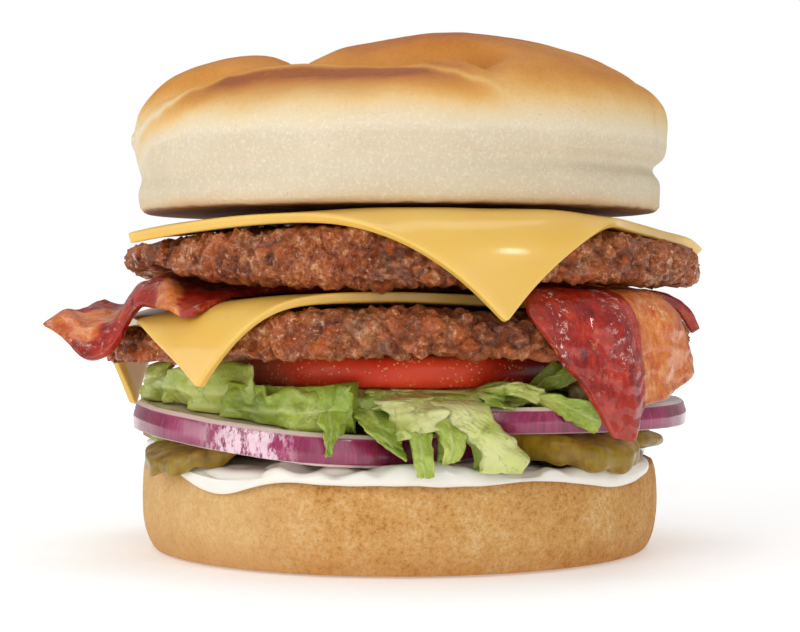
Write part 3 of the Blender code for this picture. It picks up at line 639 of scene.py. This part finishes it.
def make_crown():
    crown = skin("crown_bun", "crown", (0.0, 0.0, 86.0), 56.0, 17.0, 320, 170, 0.5, 2, 36)

    def knead(place, normal):
        high = ramp(place.z, 84.0, 92.0)
        front = curve_gap(FRONT_CREASE, place)
        held = held_at(place)
        crest = crest_at(place)
        roll = crest - min(0.03 * (front + 3.5) ** 2, 0.8)
        cap = roll + (crest - 1.6 - roll) * ramp(front, -0.4, 1.2)
        over = max(place.z - cap, 0.0) * held * (1 - ramp(front, 2.5, 9.0)) * ramp(front, -12.0, -5.0)
        under = min(max(roll - place.z, 0.0), 5.0) * held * hump(front, -2.6, 5.0) * high
        push = 0.0
        left = curve_gap(LEFT_CREASE, place, 1)
        push -= 1.2 * high * ramp(front, 2.0, 8.0) * hump(left, 0.0, 1.6)
        right = curve_gap(RIGHT_CREASE, place, 1)
        push -= 1.2 * high * ramp(place.y, -30.0, -16.0) * hump(right, 0.0, 1.4)
        push += 0.35 * grain(place, 13.0, 2) + 0.15 * grain(place, 5.0, 3)
        push += 0.5 * grain(Vector((place.x, place.y, place.z * 4)), 22.0, 7) * (1 - high)
        groove = hump(place.z, CROWN_GROOVE_HEIGHT - 2.0 * ramp(-place.x, 0.0, 40.0), 1.8)
        push -= (0.5 + 1.3 * ramp(place.x, 10.0, 48.0)) * groove
        return normal * push * ramp(place.z, 71.2, 74.0) + Vector((0.0, 0.0, under - over))

    sculpt(crown, knead)

    def baked(place, normal):
        front = curve_gap(FRONT_CREASE, place)
        held = held_at(place)
        on_roll = held * ramp(-front, -0.5, 1.5)
        share = 0.80 * min(max((place.z - 84.5) / 13.5, 0.0), 1.0)
        share += 0.14 * ramp(place.z, 102.0, 108.0) + 0.06 * grain(place, 9.0, 8)
        drop = crest_at(place) - place.z
        # On the roll: a browner band just below the crest, which is browning, and a pale line on the crest
        # itself, which is a painted highlight
        share += on_roll * (0.26 * hump(drop, 2.6, 3.4) - 0.30 * hump(drop, 0.1, 0.7))
        # Painted shade: a darker line along the valley of the front crease, on its right part
        share += 0.22 * held * hump(front, 1.3, 1.8) * ramp(place.x, -34.0, -18.0)
        # Painted highlight: a pale line along the crest, on its left part
        share -= 0.28 * held * hump(front, 0.1, 0.7) * ramp(-place.x, -8.0, 16.0)
        share -= 0.12 * held * hump(front, 4.5, 2.8) * ramp(-place.x, -6.0, 16.0)
        return min(max(share, 0.0), 1.0)

    paint_points(crown, "baked", baked)
    paint_points(
        crown, "warm",
        lambda place, normal: ramp(-place.z - 0.5 * grain(place, 5.0, 6), -74.6, -72.2),
    )
    paint_points(
        crown, "toasted",
        lambda place, normal: ramp(-place.z - 0.3 * grain(place, 4.0, 5), -72.0, -71.4),
    )
    dress(crown, "crown_bun", crust_look())


def make_heel():
    heel = skin("heel_bun", "heel", (0.0, 0.0, 10.0), 54.0, 9.5, 260, 90, 0.5, 2, 30)
    sculpt(heel, lambda place, normal: normal * 0.18 * grain(place, 8.0, 4) * ramp(place.z, 0.4, 3.0))
    paint_points(
        heel, "toasted",
        lambda place, normal: ramp(place.z, 17.4, 19.4) * (0.7 + 0.7 * grain(place, 7.0, 9)),
    )
    dress(heel, "heel_bun", heel_look())


def make_patty(node, name, seed, middle, look):
    patty = skin(node, name, middle, 61.0, 7.0, 620, 60, 0.55, 2)

    def crumble(place):
        warped = place + Vector([grain(place, 3.0, seed + axis) for axis in range(3)]) * 1.8
        rough = 0.55 + 0.45 * ramp(grain(place, 15.0, seed + 6), -0.3, 0.4)
        rise = 0.8 * grain(place, 11.0, seed + 3) + 0.4 * grain(warped, 4.0, seed + 4)
        rise += rough * 1.35 * (smooth(lumps(warped, 4.2, seed)) - 0.75)
        rise += 0.7 * (lumps(warped, 1.7, seed + 5) - 0.5) + 0.35 * grain(place, 1.6, seed + 7)
        return 0.45 + min(max(rise, -2.1), 0.75)

    heights = [crumble(point.co / MM) for point in patty.data.vertices]
    steps = iter(heights)
    sculpt(patty, lambda place, normal: normal * next(steps))
    # How low each point lies, for the painted shade in the crevices
    layer = patty.data.attributes.new("deep", "FLOAT", "POINT")
    layer.data.foreach_set("value", [ramp(-height, -0.2, 1.2) for height in heights])
    dress(patty, node, look)


def make_cheese(node, name, look):
    cheese = own_copy(node, name, 3, 50, 0.45)
    lift = CHEESE_LIFT if node == "cheese_lower" else 0.0

    def swell(place, normal):
        inside = ramp(-place.to_2d().length, -50.0, -44.0)
        up = Vector((0.0, 0.0, lift * inside * ramp(normal.z, 0.2, 0.8)))
        return normal * 0.15 * grain(place, 16.0, 6) + up

    sculpt(cheese, swell)
    keep_rim(cheese, 1.3)
    dress(cheese, node, look)


def keep_rim(piece, reach):
    """Keeps, as the attribute rim, how near each point of a thin piece is to its edge."""
    shares = rim_share(piece, reach)
    layer = piece.data.attributes.new("rim", "FLOAT", "POINT")
    layer.data.foreach_set("value", shares)


def rim_share(piece, reach):
    """For each point of a thin piece, how near it is to the rim: 1 there and 0 well inside."""
    points = piece.data.vertices
    total = [0.0] * len(points)
    count = [0] * len(points)
    for edge in piece.data.edges:
        a, b = edge.vertices
        bend = 1 - points[a].normal.dot(points[b].normal)
        total[a] += bend
        total[b] += bend
        count[a] += 1
        count[b] += 1
    share = [min(t / max(c, 1) * 3.0 * reach, 1.0) for t, c in zip(total, count)]
    for _ in range(2):
        spread = list(share)
        for edge in piece.data.edges:
            a, b = edge.vertices
            spread[a] = max(spread[a], 0.7 * share[b])
            spread[b] = max(spread[b], 0.7 * share[a])
        share = spread
    return share


def make_bacon_left(look):
    strip = own_copy("bacon_left", "bacon_left_strip", 3, 50)
    trees = [tree_of(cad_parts[node]) for node in ("cheese_lower", "patty_lower", "patty_upper")]

    def lip(place):
        """How much of the lip over the lower cheese there is at a place."""
        return ramp(-place.y, 24.0, 36.0) * hump(place.x, -40.0, 8.5) * ramp(place.z, 50.0, 53.0)

    def ripple(place, normal):
        free = ramp(-place.x, 30.0, 46.0)
        wave = 0.35 * math.sin(place.x * 0.9 + 0.25 * place.y) * free
        hang = lip(place)
        shift = normal * (0.3 * (1 - free) + 0.35 * grain(place, 4.5, 11) + 0.2 * grain(place, 2.0, 12))
        shift += Vector((0.0, -BACON_LIP_REACH * hang, wave - BACON_LIP_DROP * hang))
        moved = out_of(place + shift, trees, 0.5) - place if hang > 0.05 else shift
        return moved

    sculpt(strip, ripple)
    paint_points(strip, "streak", lambda place, normal: place.y + 0.5 * place.z)
    paint_points(strip, "along", lambda place, normal: place.x)
    paint_points(
        strip, "fat",
        lambda place, normal: 0.1 + 0.9 * hump(place.y, -22.5 - 6.0 * ramp(-place.x, 56.0, 66.0), 6.0)
        + 0.6 * hump(place.y, -10.0, 3.0) + 0.8 * hump(place.x, -45.0, 2.6) * ramp(-place.y, 33.0, 36.0),
    )
    paint_points(strip, "turned", lambda place, normal: 0.5 * ramp(-place.x, 68.0, 71.0))
    # Where the painted highlights go: along a line at one height and along the lip
    paint_points(
        strip, "sheen",
        lambda place, normal: 0.8 * hump(place.z, 56.8, 0.9) + 0.6 * hump(place.y, -33.5, 1.2),
    )
    keep_rim(strip, 1.3)
    dress(strip, "bacon_left", look)


def make_bacon_right(look):
    strip = own_copy("bacon_right", "bacon_right_strip", 3, 50, 0.6)

    def across(place):
        angle = math.degrees(math.atan2(place.y, place.x))
        return (angle + 68.0) / 40.0

    def ripple(place, normal):
        out = Vector((place.x, place.y, 0.0)).normalized()
        hanging = ramp(-place.z, -53.0, -47.0)
        v = across(place) + 0.03 * grain(place, 12.0, 19)
        wave = 1.5 * hump(v, 0.05, 0.07) + 1.9 * hump(v, 0.42, 0.10) + 1.3 * hump(v, 0.74, 0.10) - 0.3
        stretched = Vector((place.x, place.y, place.z * 1.6))
        crinkle = 0.28 * grain(stretched, 3.2, 13) + 0.14 * grain(place, 1.7, 14)
        return out * wave * hanging + normal * crinkle

    sculpt(strip, ripple)
    paint_points(strip, "streak", lambda place, normal: across(place) * 44.0)
    paint_points(strip, "along", lambda place, normal: -place.z)
    paint_points(
        strip, "fat",
        lambda place, normal: 0.06 + 0.80 * ramp(across(place), 0.50, 0.62)
        - 0.35 * ramp(across(place), 0.9, 1.0)
        + 0.25 * hump(across(place), 0.47, 0.03),
    )
    # Where the painted highlights go: along the ridges of the flap
    paint_points(
        strip, "sheen",
        lambda place, normal: max(
            hump(across(place), 0.13, 0.045), hump(across(place), 0.44, 0.06) * ramp(place.z, 38.0, 44.0),
            0.8 * hump(across(place), 0.72, 0.08) * ramp(place.z, 47.0, 52.0),
        ),
    )
    paint_points(
        strip, "turned",
        lambda place, normal: max(hump(across(place), 0.02, 0.07), ramp(-place.z, -35.0, -30.0)),
    )
    keep_rim(strip, 1.3)
    dress(strip, "bacon_right", look)


def make_tomato():
    tomato = skin("tomato_slice", "tomato", (-1.0, -9.0, 39.4), 37.0, 3.0, 200, 50, 0.5, 2)
    sculpt(
        tomato,
        lambda place, normal: normal * (0.25 + 0.15 * grain(place, 10.0, 15))
        - Vector((0.0, 0.0, 0.9 * ramp(-normal.z, -0.2, 0.5) * ramp(-place.y, 10.0, 26.0))),
    )
    dress(tomato, "tomato_slice", tomato_look())


def make_onion(node, name, look):
    onion = own_copy(node, name, 3, 24)
    middle = Vector(ONION_CENTRES[node])
    lowest, highest = {}, {}

    def sector(place):
        way = place.to_2d() - middle
        return round(math.degrees(math.atan2(way.y, way.x)) / 4) % 90

    for point in onion.data.vertices:
        place = point.co / MM
        if (place.to_2d() - middle).length > 34.5:
            key = sector(place)
            lowest[key] = min(lowest.get(key, 99.0), place.z)
            highest[key] = max(highest.get(key, 0.0), place.z)

    def share(place):
        key = sector(place)
        return (place.z - lowest[key]) / (highest[key] - lowest[key])

    def proud(place, normal):
        radius = (place.to_2d() - middle).length
        outer = ramp(radius, 33.0, 35.0) * ramp(-place.y, 0.0, 20.0)
        return normal * 0.1 * grain(place, 5.0, 16) + Vector((0.0, 0.0, 0.9 * outer * (share(place) - 0.4)))

    paint_points(onion, "height", lambda place, normal: share(place))
    sculpt(onion, proud)

    def ring(place, _):
        radius = (place.to_2d() - middle).length
        return max(hump((radius + 2.0) % 5.5, 2.7, 0.45), ramp(radius, 36.6, 37.4))

    paint_points(onion, "cut", lambda place, normal: ramp(abs(normal.z), 0.5, 0.8))
    paint_points(onion, "ring", ring)
    dress(onion, node, look)


def make_pickle(node, look):
    chip = own_copy(node, node + "_chip", 3)
    tops = [point.co.z / MM for point in chip.data.vertices]
    middle = (max(tops) + min(tops)) / 2

    def thicken(place, normal):
        reach = place.to_2d().length
        angle = math.atan2(place.y, place.x)
        front = ramp(-place.y, 8.0, 22.0) * ramp(reach, 50.0, 54.0)
        scallop = math.cos(angle * 52)
        deep = 2.6 if node == "pickle_left_front" else 1.2
        sink = -(deep + 0.6 * scallop) * ramp(-normal.z, -0.3, 0.5) * front
        shift = normal * (0.15 + 0.2 * grain(place, 4.0, 17)) + Vector((0.0, 0.0, sink))
        return shift + Vector((math.cos(angle), math.sin(angle), 0.0)) * 0.25 * scallop * front

    sculpt(chip, thicken)
    paint_points(chip, "skin", lambda place, normal: ramp(middle + 2.0 - place.z, 0.0, 3.0))
    dress(chip, node, look)


def make_mayonnaise():
    spread = own_copy("mayonnaise", "mayonnaise_spread", 3)

    def blob(place, normal):
        top = ramp(normal.z, 0.0, 0.6)
        front = ramp(-place.y, 30.0, 46.0)
        rise = 1.3 * grain(place, 6.0, 18) + 0.5 * grain(place, 3.0, 19) - 2.0 * ramp(-place.x, 22.0, 30.0)
        return normal * (0.1 + 0.25 * grain(place, 6.0, 18)) + Vector((0.0, 0.0, rise * top * front))

    sculpt(spread, blob)
    dress(spread, "mayonnaise", mayonnaise_look())


SHREDS = (
    # path, side to side at its start, side to side at its end, wave, its own phase, tint
    (((-53.0, -13.0, 36.6), (-48.5, -27.0, 36.3), (-39.5, -38.0, 35.8), (-28.0, -45.5, 34.9)),
     (0.0, 0.0, 9.6), (-1.0, -2.0, 11.0), 1.5, 0.0, 0.4),
    (((-34.0, -42.0, 32.6), (-26.0, -48.5, 31.4), (-17.0, -51.5, 31.0), (-9.0, -51.5, 32.0)),
     (0.0, -2.0, 8.0), (0.0, -3.0, 10.6), 1.5, 1.0, 0.25),
    (((-12.0, -46.0, 33.6), (-13.0, -52.0, 31.6), (-13.2, -56.6, 27.6), (-13.4, -57.6, 23.8)),
     (7.0, 0.0, 0.0), (1.2, 0.0, 0.0), 0.5, 2.0, 0.2),
    (((0.0, -42.0, 34.4), (1.0, -50.0, 34.2), (3.0, -54.5, 31.6), (4.0, -56.0, 27.6)),
     (11.0, 0.0, 0.0), (10.0, -1.0, 3.0), 0.9, 3.2, 0.65),
    (((-6.0, -46.0, 33.2), (-5.0, -52.0, 30.4), (-3.0, -56.4, 27.0), (-1.0, -57.4, 24.4)),
     (9.0, 0.0, 0.0), (5.0, 0.0, -3.0), 1.1, 0.4, 0.25),
    (((2.0, -46.0, 32.8), (3.2, -54.0, 29.6), (4.4, -58.2, 25.0), (4.9, -58.8, 19.9)),
     (6.0, 0.0, 0.0), (3.2, 0.0, 0.0), 0.5, 2.4, 0.35),
    (((7.0, -46.0, 33.6), (8.4, -54.0, 31.0), (10.2, -58.0, 27.0), (9.6, -58.6, 22.6)),
     (7.0, 0.0, 0.0), (3.6, 0.0, 0.6), 0.6, 4.4, 0.35),
    (((8.0, -44.0, 34.2), (11.4, -53.5, 33.2), (15.6, -57.2, 28.6), (19.6, -57.8, 24.6), (19.4, -57.6, 20.6)),
     (9.5, 0.0, 0.0), (8.0, 0.6, 0.0), 0.5, 1.6, 0.7),
    (((12.0, -37.0, 34.5), (17.0, -47.5, 35.4), (22.0, -50.0, 36.0), (28.0, -47.0, 34.4)),
     (1.0, -5.0, 1.0), (0.0, -2.0, 3.4), 0.7, 0.2, 0.6),
    (((19.0, -36.0, 34.4), (27.0, -47.0, 34.0), (33.0, -50.8, 32.4), (38.6, -50.4, 30.4)),
     (-1.0, -4.0, 1.2), (2.0, -2.0, 5.0), 0.6, 2.8, 0.3),
    (((20.0, -33.0, 34.4), (27.0, -41.5, 35.6), (31.0, -45.0, 37.4), (35.0, -45.0, 40.0)),
     (3.0, -3.0, 0.4), (3.0, 0.0, -2.6), 0.4, 5.0, 0.3),
)


def shred_at(path, first, last, wave, phase):
    """Where a point of a ruffled shred is, for u along it and v across it, both from 0 to 1."""
    def place(u, v):
        u = u * (1 + 0.05 * noise.noise(Vector((phase * 3, v * 6, 1.0))))
        side = Vector(first).lerp(Vector(last), smooth(u))
        middle = spline(path, u)
        out = Vector((middle.x, middle.y, 0.0)).normalized()
        free = 0.3 + abs(2 * v - 1) ** 1.3
        slow = math.sin(u * 11.0 + phase + 2.4 * v)
        quick = math.sin(u * 23.0 + 2 * phase - 3 * v)
        ruffle = wave * free * (slow + 0.6 * quick)
        ruffle += 0.3 * wave * abs(2 * v - 1) * math.sin(u * 43.0 + 3 * phase)
        edge = 0.16 * noise.noise(Vector((u * 9, phase * 2, round(v) * 5.0))) * abs(2 * v - 1)
        crimp = 0.9 * wave * noise.noise(Vector((u * 8 + phase, v * 6, phase)))
        cup = 0.18 * side.length * (v - 0.5) ** 2 * 4
        return middle + side * (v - 0.5 + edge) + out * (ruffle + crimp - cup)

    return place


def out_of(point, trees, room):
    """A point in millimetres, moved out of the pieces in trees by at least room."""
    for _ in range(2):
        for tree in trees:
            spot, normal, _, away = tree.find_nearest(point, 6.0)
            if spot is None:
                continue
            if (point - spot).dot(normal) < 0:
                point = spot + normal * room
            elif away < room:
                point = spot + (point - spot).normalized() * room
    return point


def make_shred(name, place, tint, look, trees, along=40, across=12):
    bpy.ops.object.select_all(action="DESELECT")
    bpy.ops.mesh.primitive_grid_add(x_subdivisions=along, y_subdivisions=across, size=1.0)
    shred = bpy.context.object
    shred.name = name
    shred.data.name = name
    sides = []
    for point in shred.data.vertices:
        u, v = point.co.x + 0.5, point.co.y + 0.5
        sides.append((u, v))
        point.co = out_of(place(u, v), trees, LEAF_ROOM) * MM
    layer = shred.data.attributes.new("tint", "FLOAT", "POINT")
    ribs = shred.data.attributes.new("rib", "FLOAT", "POINT")
    for index, (u, v) in enumerate(sides):
        spot = shred.data.vertices[index].co / MM
        layer.data[index].value = tint + 0.22 * grain(spot, 7.0, tint * 9) + 0.12 * abs(2 * v - 1) ** 3
        middle = 0.5 + 0.12 * math.sin(u * 5 + tint * 20)
        branch = (v - middle) * 4.5 + u * 7
        ribs.data[index].value = max(hump(v, middle, 0.05), 0.55 * hump(branch % 1.6, 0.8, 0.16))
    apply_modifier(shred, "SOLIDIFY", thickness=LEAF_THICKNESS * MM, offset=0.0)
    shred.data.shade_smooth()
    dress(shred, "lettuce", look)


def spare_shreds():
    """Short shreds that fill the layer all round, each a little different and always the same."""
    for k in range(SCRAPS):
        draw = [noise.noise(Vector((k * 3.71, channel * 5.3, 2.0))) for channel in range(7)]
        angle = math.radians(k * 360 / SCRAPS + 9 * draw[0])
        out = Vector((math.cos(angle), math.sin(angle), 0.0))
        aside = Vector((-out.y, out.x, 0.0))
        low = 27.5 + 5.0 * draw[1]
        reach = 52.5 + 3.5 * draw[2]
        drift = 14.0 * draw[3]
        if out.y < -0.42:
            low, reach, drift = 32.6 + 2.0 * draw[1], 49.0 + 2.0 * draw[2], 8.0 * draw[3]
        path = (
            out * 40.0 - aside * drift + Vector((0, 0, 34.2)), out * 45.0 + Vector((0, 0, 35.6)),
            out * reach + aside * drift * 0.6 + Vector((0, 0, 34.6 + 2 * draw[4])),
            out * (reach + 1.8) + aside * drift + Vector((0, 0, low)),
        )
        wide = 9.0 + 5.0 * draw[5]
        tilt = Vector((0, 0, 0.8 * draw[6]))
        yield path, (aside + tilt) * wide, (aside - tilt) * wide * 0.75, 1.1, k * 1.7, 0.45 + 0.5 * draw[4]


def make_lettuce(look, neighbours):
    core = own_copy("lettuce", "lettuce_bed", 0)
    paint_points(core, "tint", lambda place, normal: 0.3)
    paint_points(core, "rib", lambda place, normal: 0.0)

    def pull_in(place, normal):
        return -Vector((place.x, place.y, 0.0)) * 0.10 * ramp(place.to_2d().length, 42.0, 56.0)

    sculpt(core, pull_in)
    dress(core, "lettuce", look)
    for index, (path, first, last, wave, phase, tint) in enumerate(SHREDS):
        make_shred(f"lettuce_shred_{index}", shred_at(path, first, last, wave, phase), tint, look, neighbours)
    for index, (path, first, last, wave, phase, tint) in enumerate(spare_shreds()):
        make_shred(
            f"lettuce_scrap_{index}", shred_at(path, first, last, wave, phase), tint, look, neighbours, 26, 8,
        )


def make_stage():
    bpy.ops.object.select_all(action="DESELECT")
    bpy.ops.mesh.primitive_plane_add(size=FLOOR_SIZE)
    floor = bpy.context.object
    floor.name = "floor"
    look = Finish("white_floor")
    away = look.add("ShaderNodeVectorMath", {0: look.object_place}, output="Value", operation="LENGTH")
    glow = look.mix(away.between(0.14, 0.55), (0.30, 0.30, 0.30), (0.72, 0.72, 0.72))
    floor.data.materials.append(look.set(
        Base_Color=rgb(250, 250, 250), Roughness=0.9, Specular_IOR_Level=0.1, Emission_Color=glow,
        Emission_Strength=1.0,
    ))

    world = bpy.data.worlds.new("studio")
    bpy.context.scene.world = world
    world.use_nodes = True
    tree = world.node_tree
    sky = tree.nodes["Background"]
    sky.inputs["Strength"].default_value = SKY_STRENGTH
    backdrop = tree.nodes.new("ShaderNodeBackground")
    backdrop.inputs["Color"].default_value = (1.0, 1.0, 1.0, 1.0)
    seen = tree.nodes.new("ShaderNodeLightPath")
    either = tree.nodes.new("ShaderNodeMixShader")
    sky.inputs["Color"].default_value = (1.0, 1.0, 1.0, 1.0)
    tree.links.new(seen.outputs["Is Camera Ray"], either.inputs[0])
    tree.links.new(sky.outputs[0], either.inputs[1])
    tree.links.new(backdrop.outputs[0], either.inputs[2])
    tree.links.new(either.outputs[0], tree.nodes["World Output"].inputs["Surface"])

    for name, place, size, power, tint in LAMPS:
        lamp = bpy.data.lights.new(name, "AREA")
        lamp.energy = power
        lamp.size = size
        lamp.color = tint
        holder = bpy.data.objects.new(name, lamp)
        holder.location = place
        holder.rotation_euler = (Vector(LAMP_TARGET) - Vector(place)).to_track_quat("-Z", "Y").to_euler()
        bpy.context.scene.collection.objects.link(holder)

    lens = bpy.data.cameras.new("camera")
    lens.sensor_width = CAMERA_SENSOR
    lens.lens = CAMERA_LENS
    camera = bpy.data.objects.new("camera", lens)
    camera.location = Vector(CAMERA_PLACE) * MM
    camera.rotation_euler = (math.radians(90 - CAMERA_PITCH), 0.0, 0.0)
    bpy.context.scene.collection.objects.link(camera)
    bpy.context.scene.camera = camera
    bpy.context.scene.view_settings.view_transform = "Standard"


def main():
    make_stage()
    make_crown()
    make_heel()
    beef = beef_look()
    make_patty("patty_upper", "upper_patty", 21, (2.5, 0.0, 62.0), beef)
    make_patty("patty_lower", "lower_patty", 27, (-1.0, -1.0, 46.5), beef)
    cheese = cheese_look()
    make_cheese("cheese_upper", "upper_cheese", cheese)
    make_cheese("cheese_lower", "lower_cheese", cheese)
    bacon = bacon_look()
    make_bacon_left(bacon)
    make_bacon_right(bacon)
    make_tomato()
    onion = onion_look()
    make_onion("onion_left", "left_onion", onion)
    make_onion("onion_right", "right_onion", onion)
    pickle = pickle_look()
    for node in sorted(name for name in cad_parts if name.startswith("pickle")):
        make_pickle(node, pickle)
    make_mayonnaise()
    near = ("onion_left", "onion_right", "tomato_slice", "patty_lower", "heel_bun")
    make_lettuce(lettuce_look(), [tree_of(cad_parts[node]) for node in near])


main()
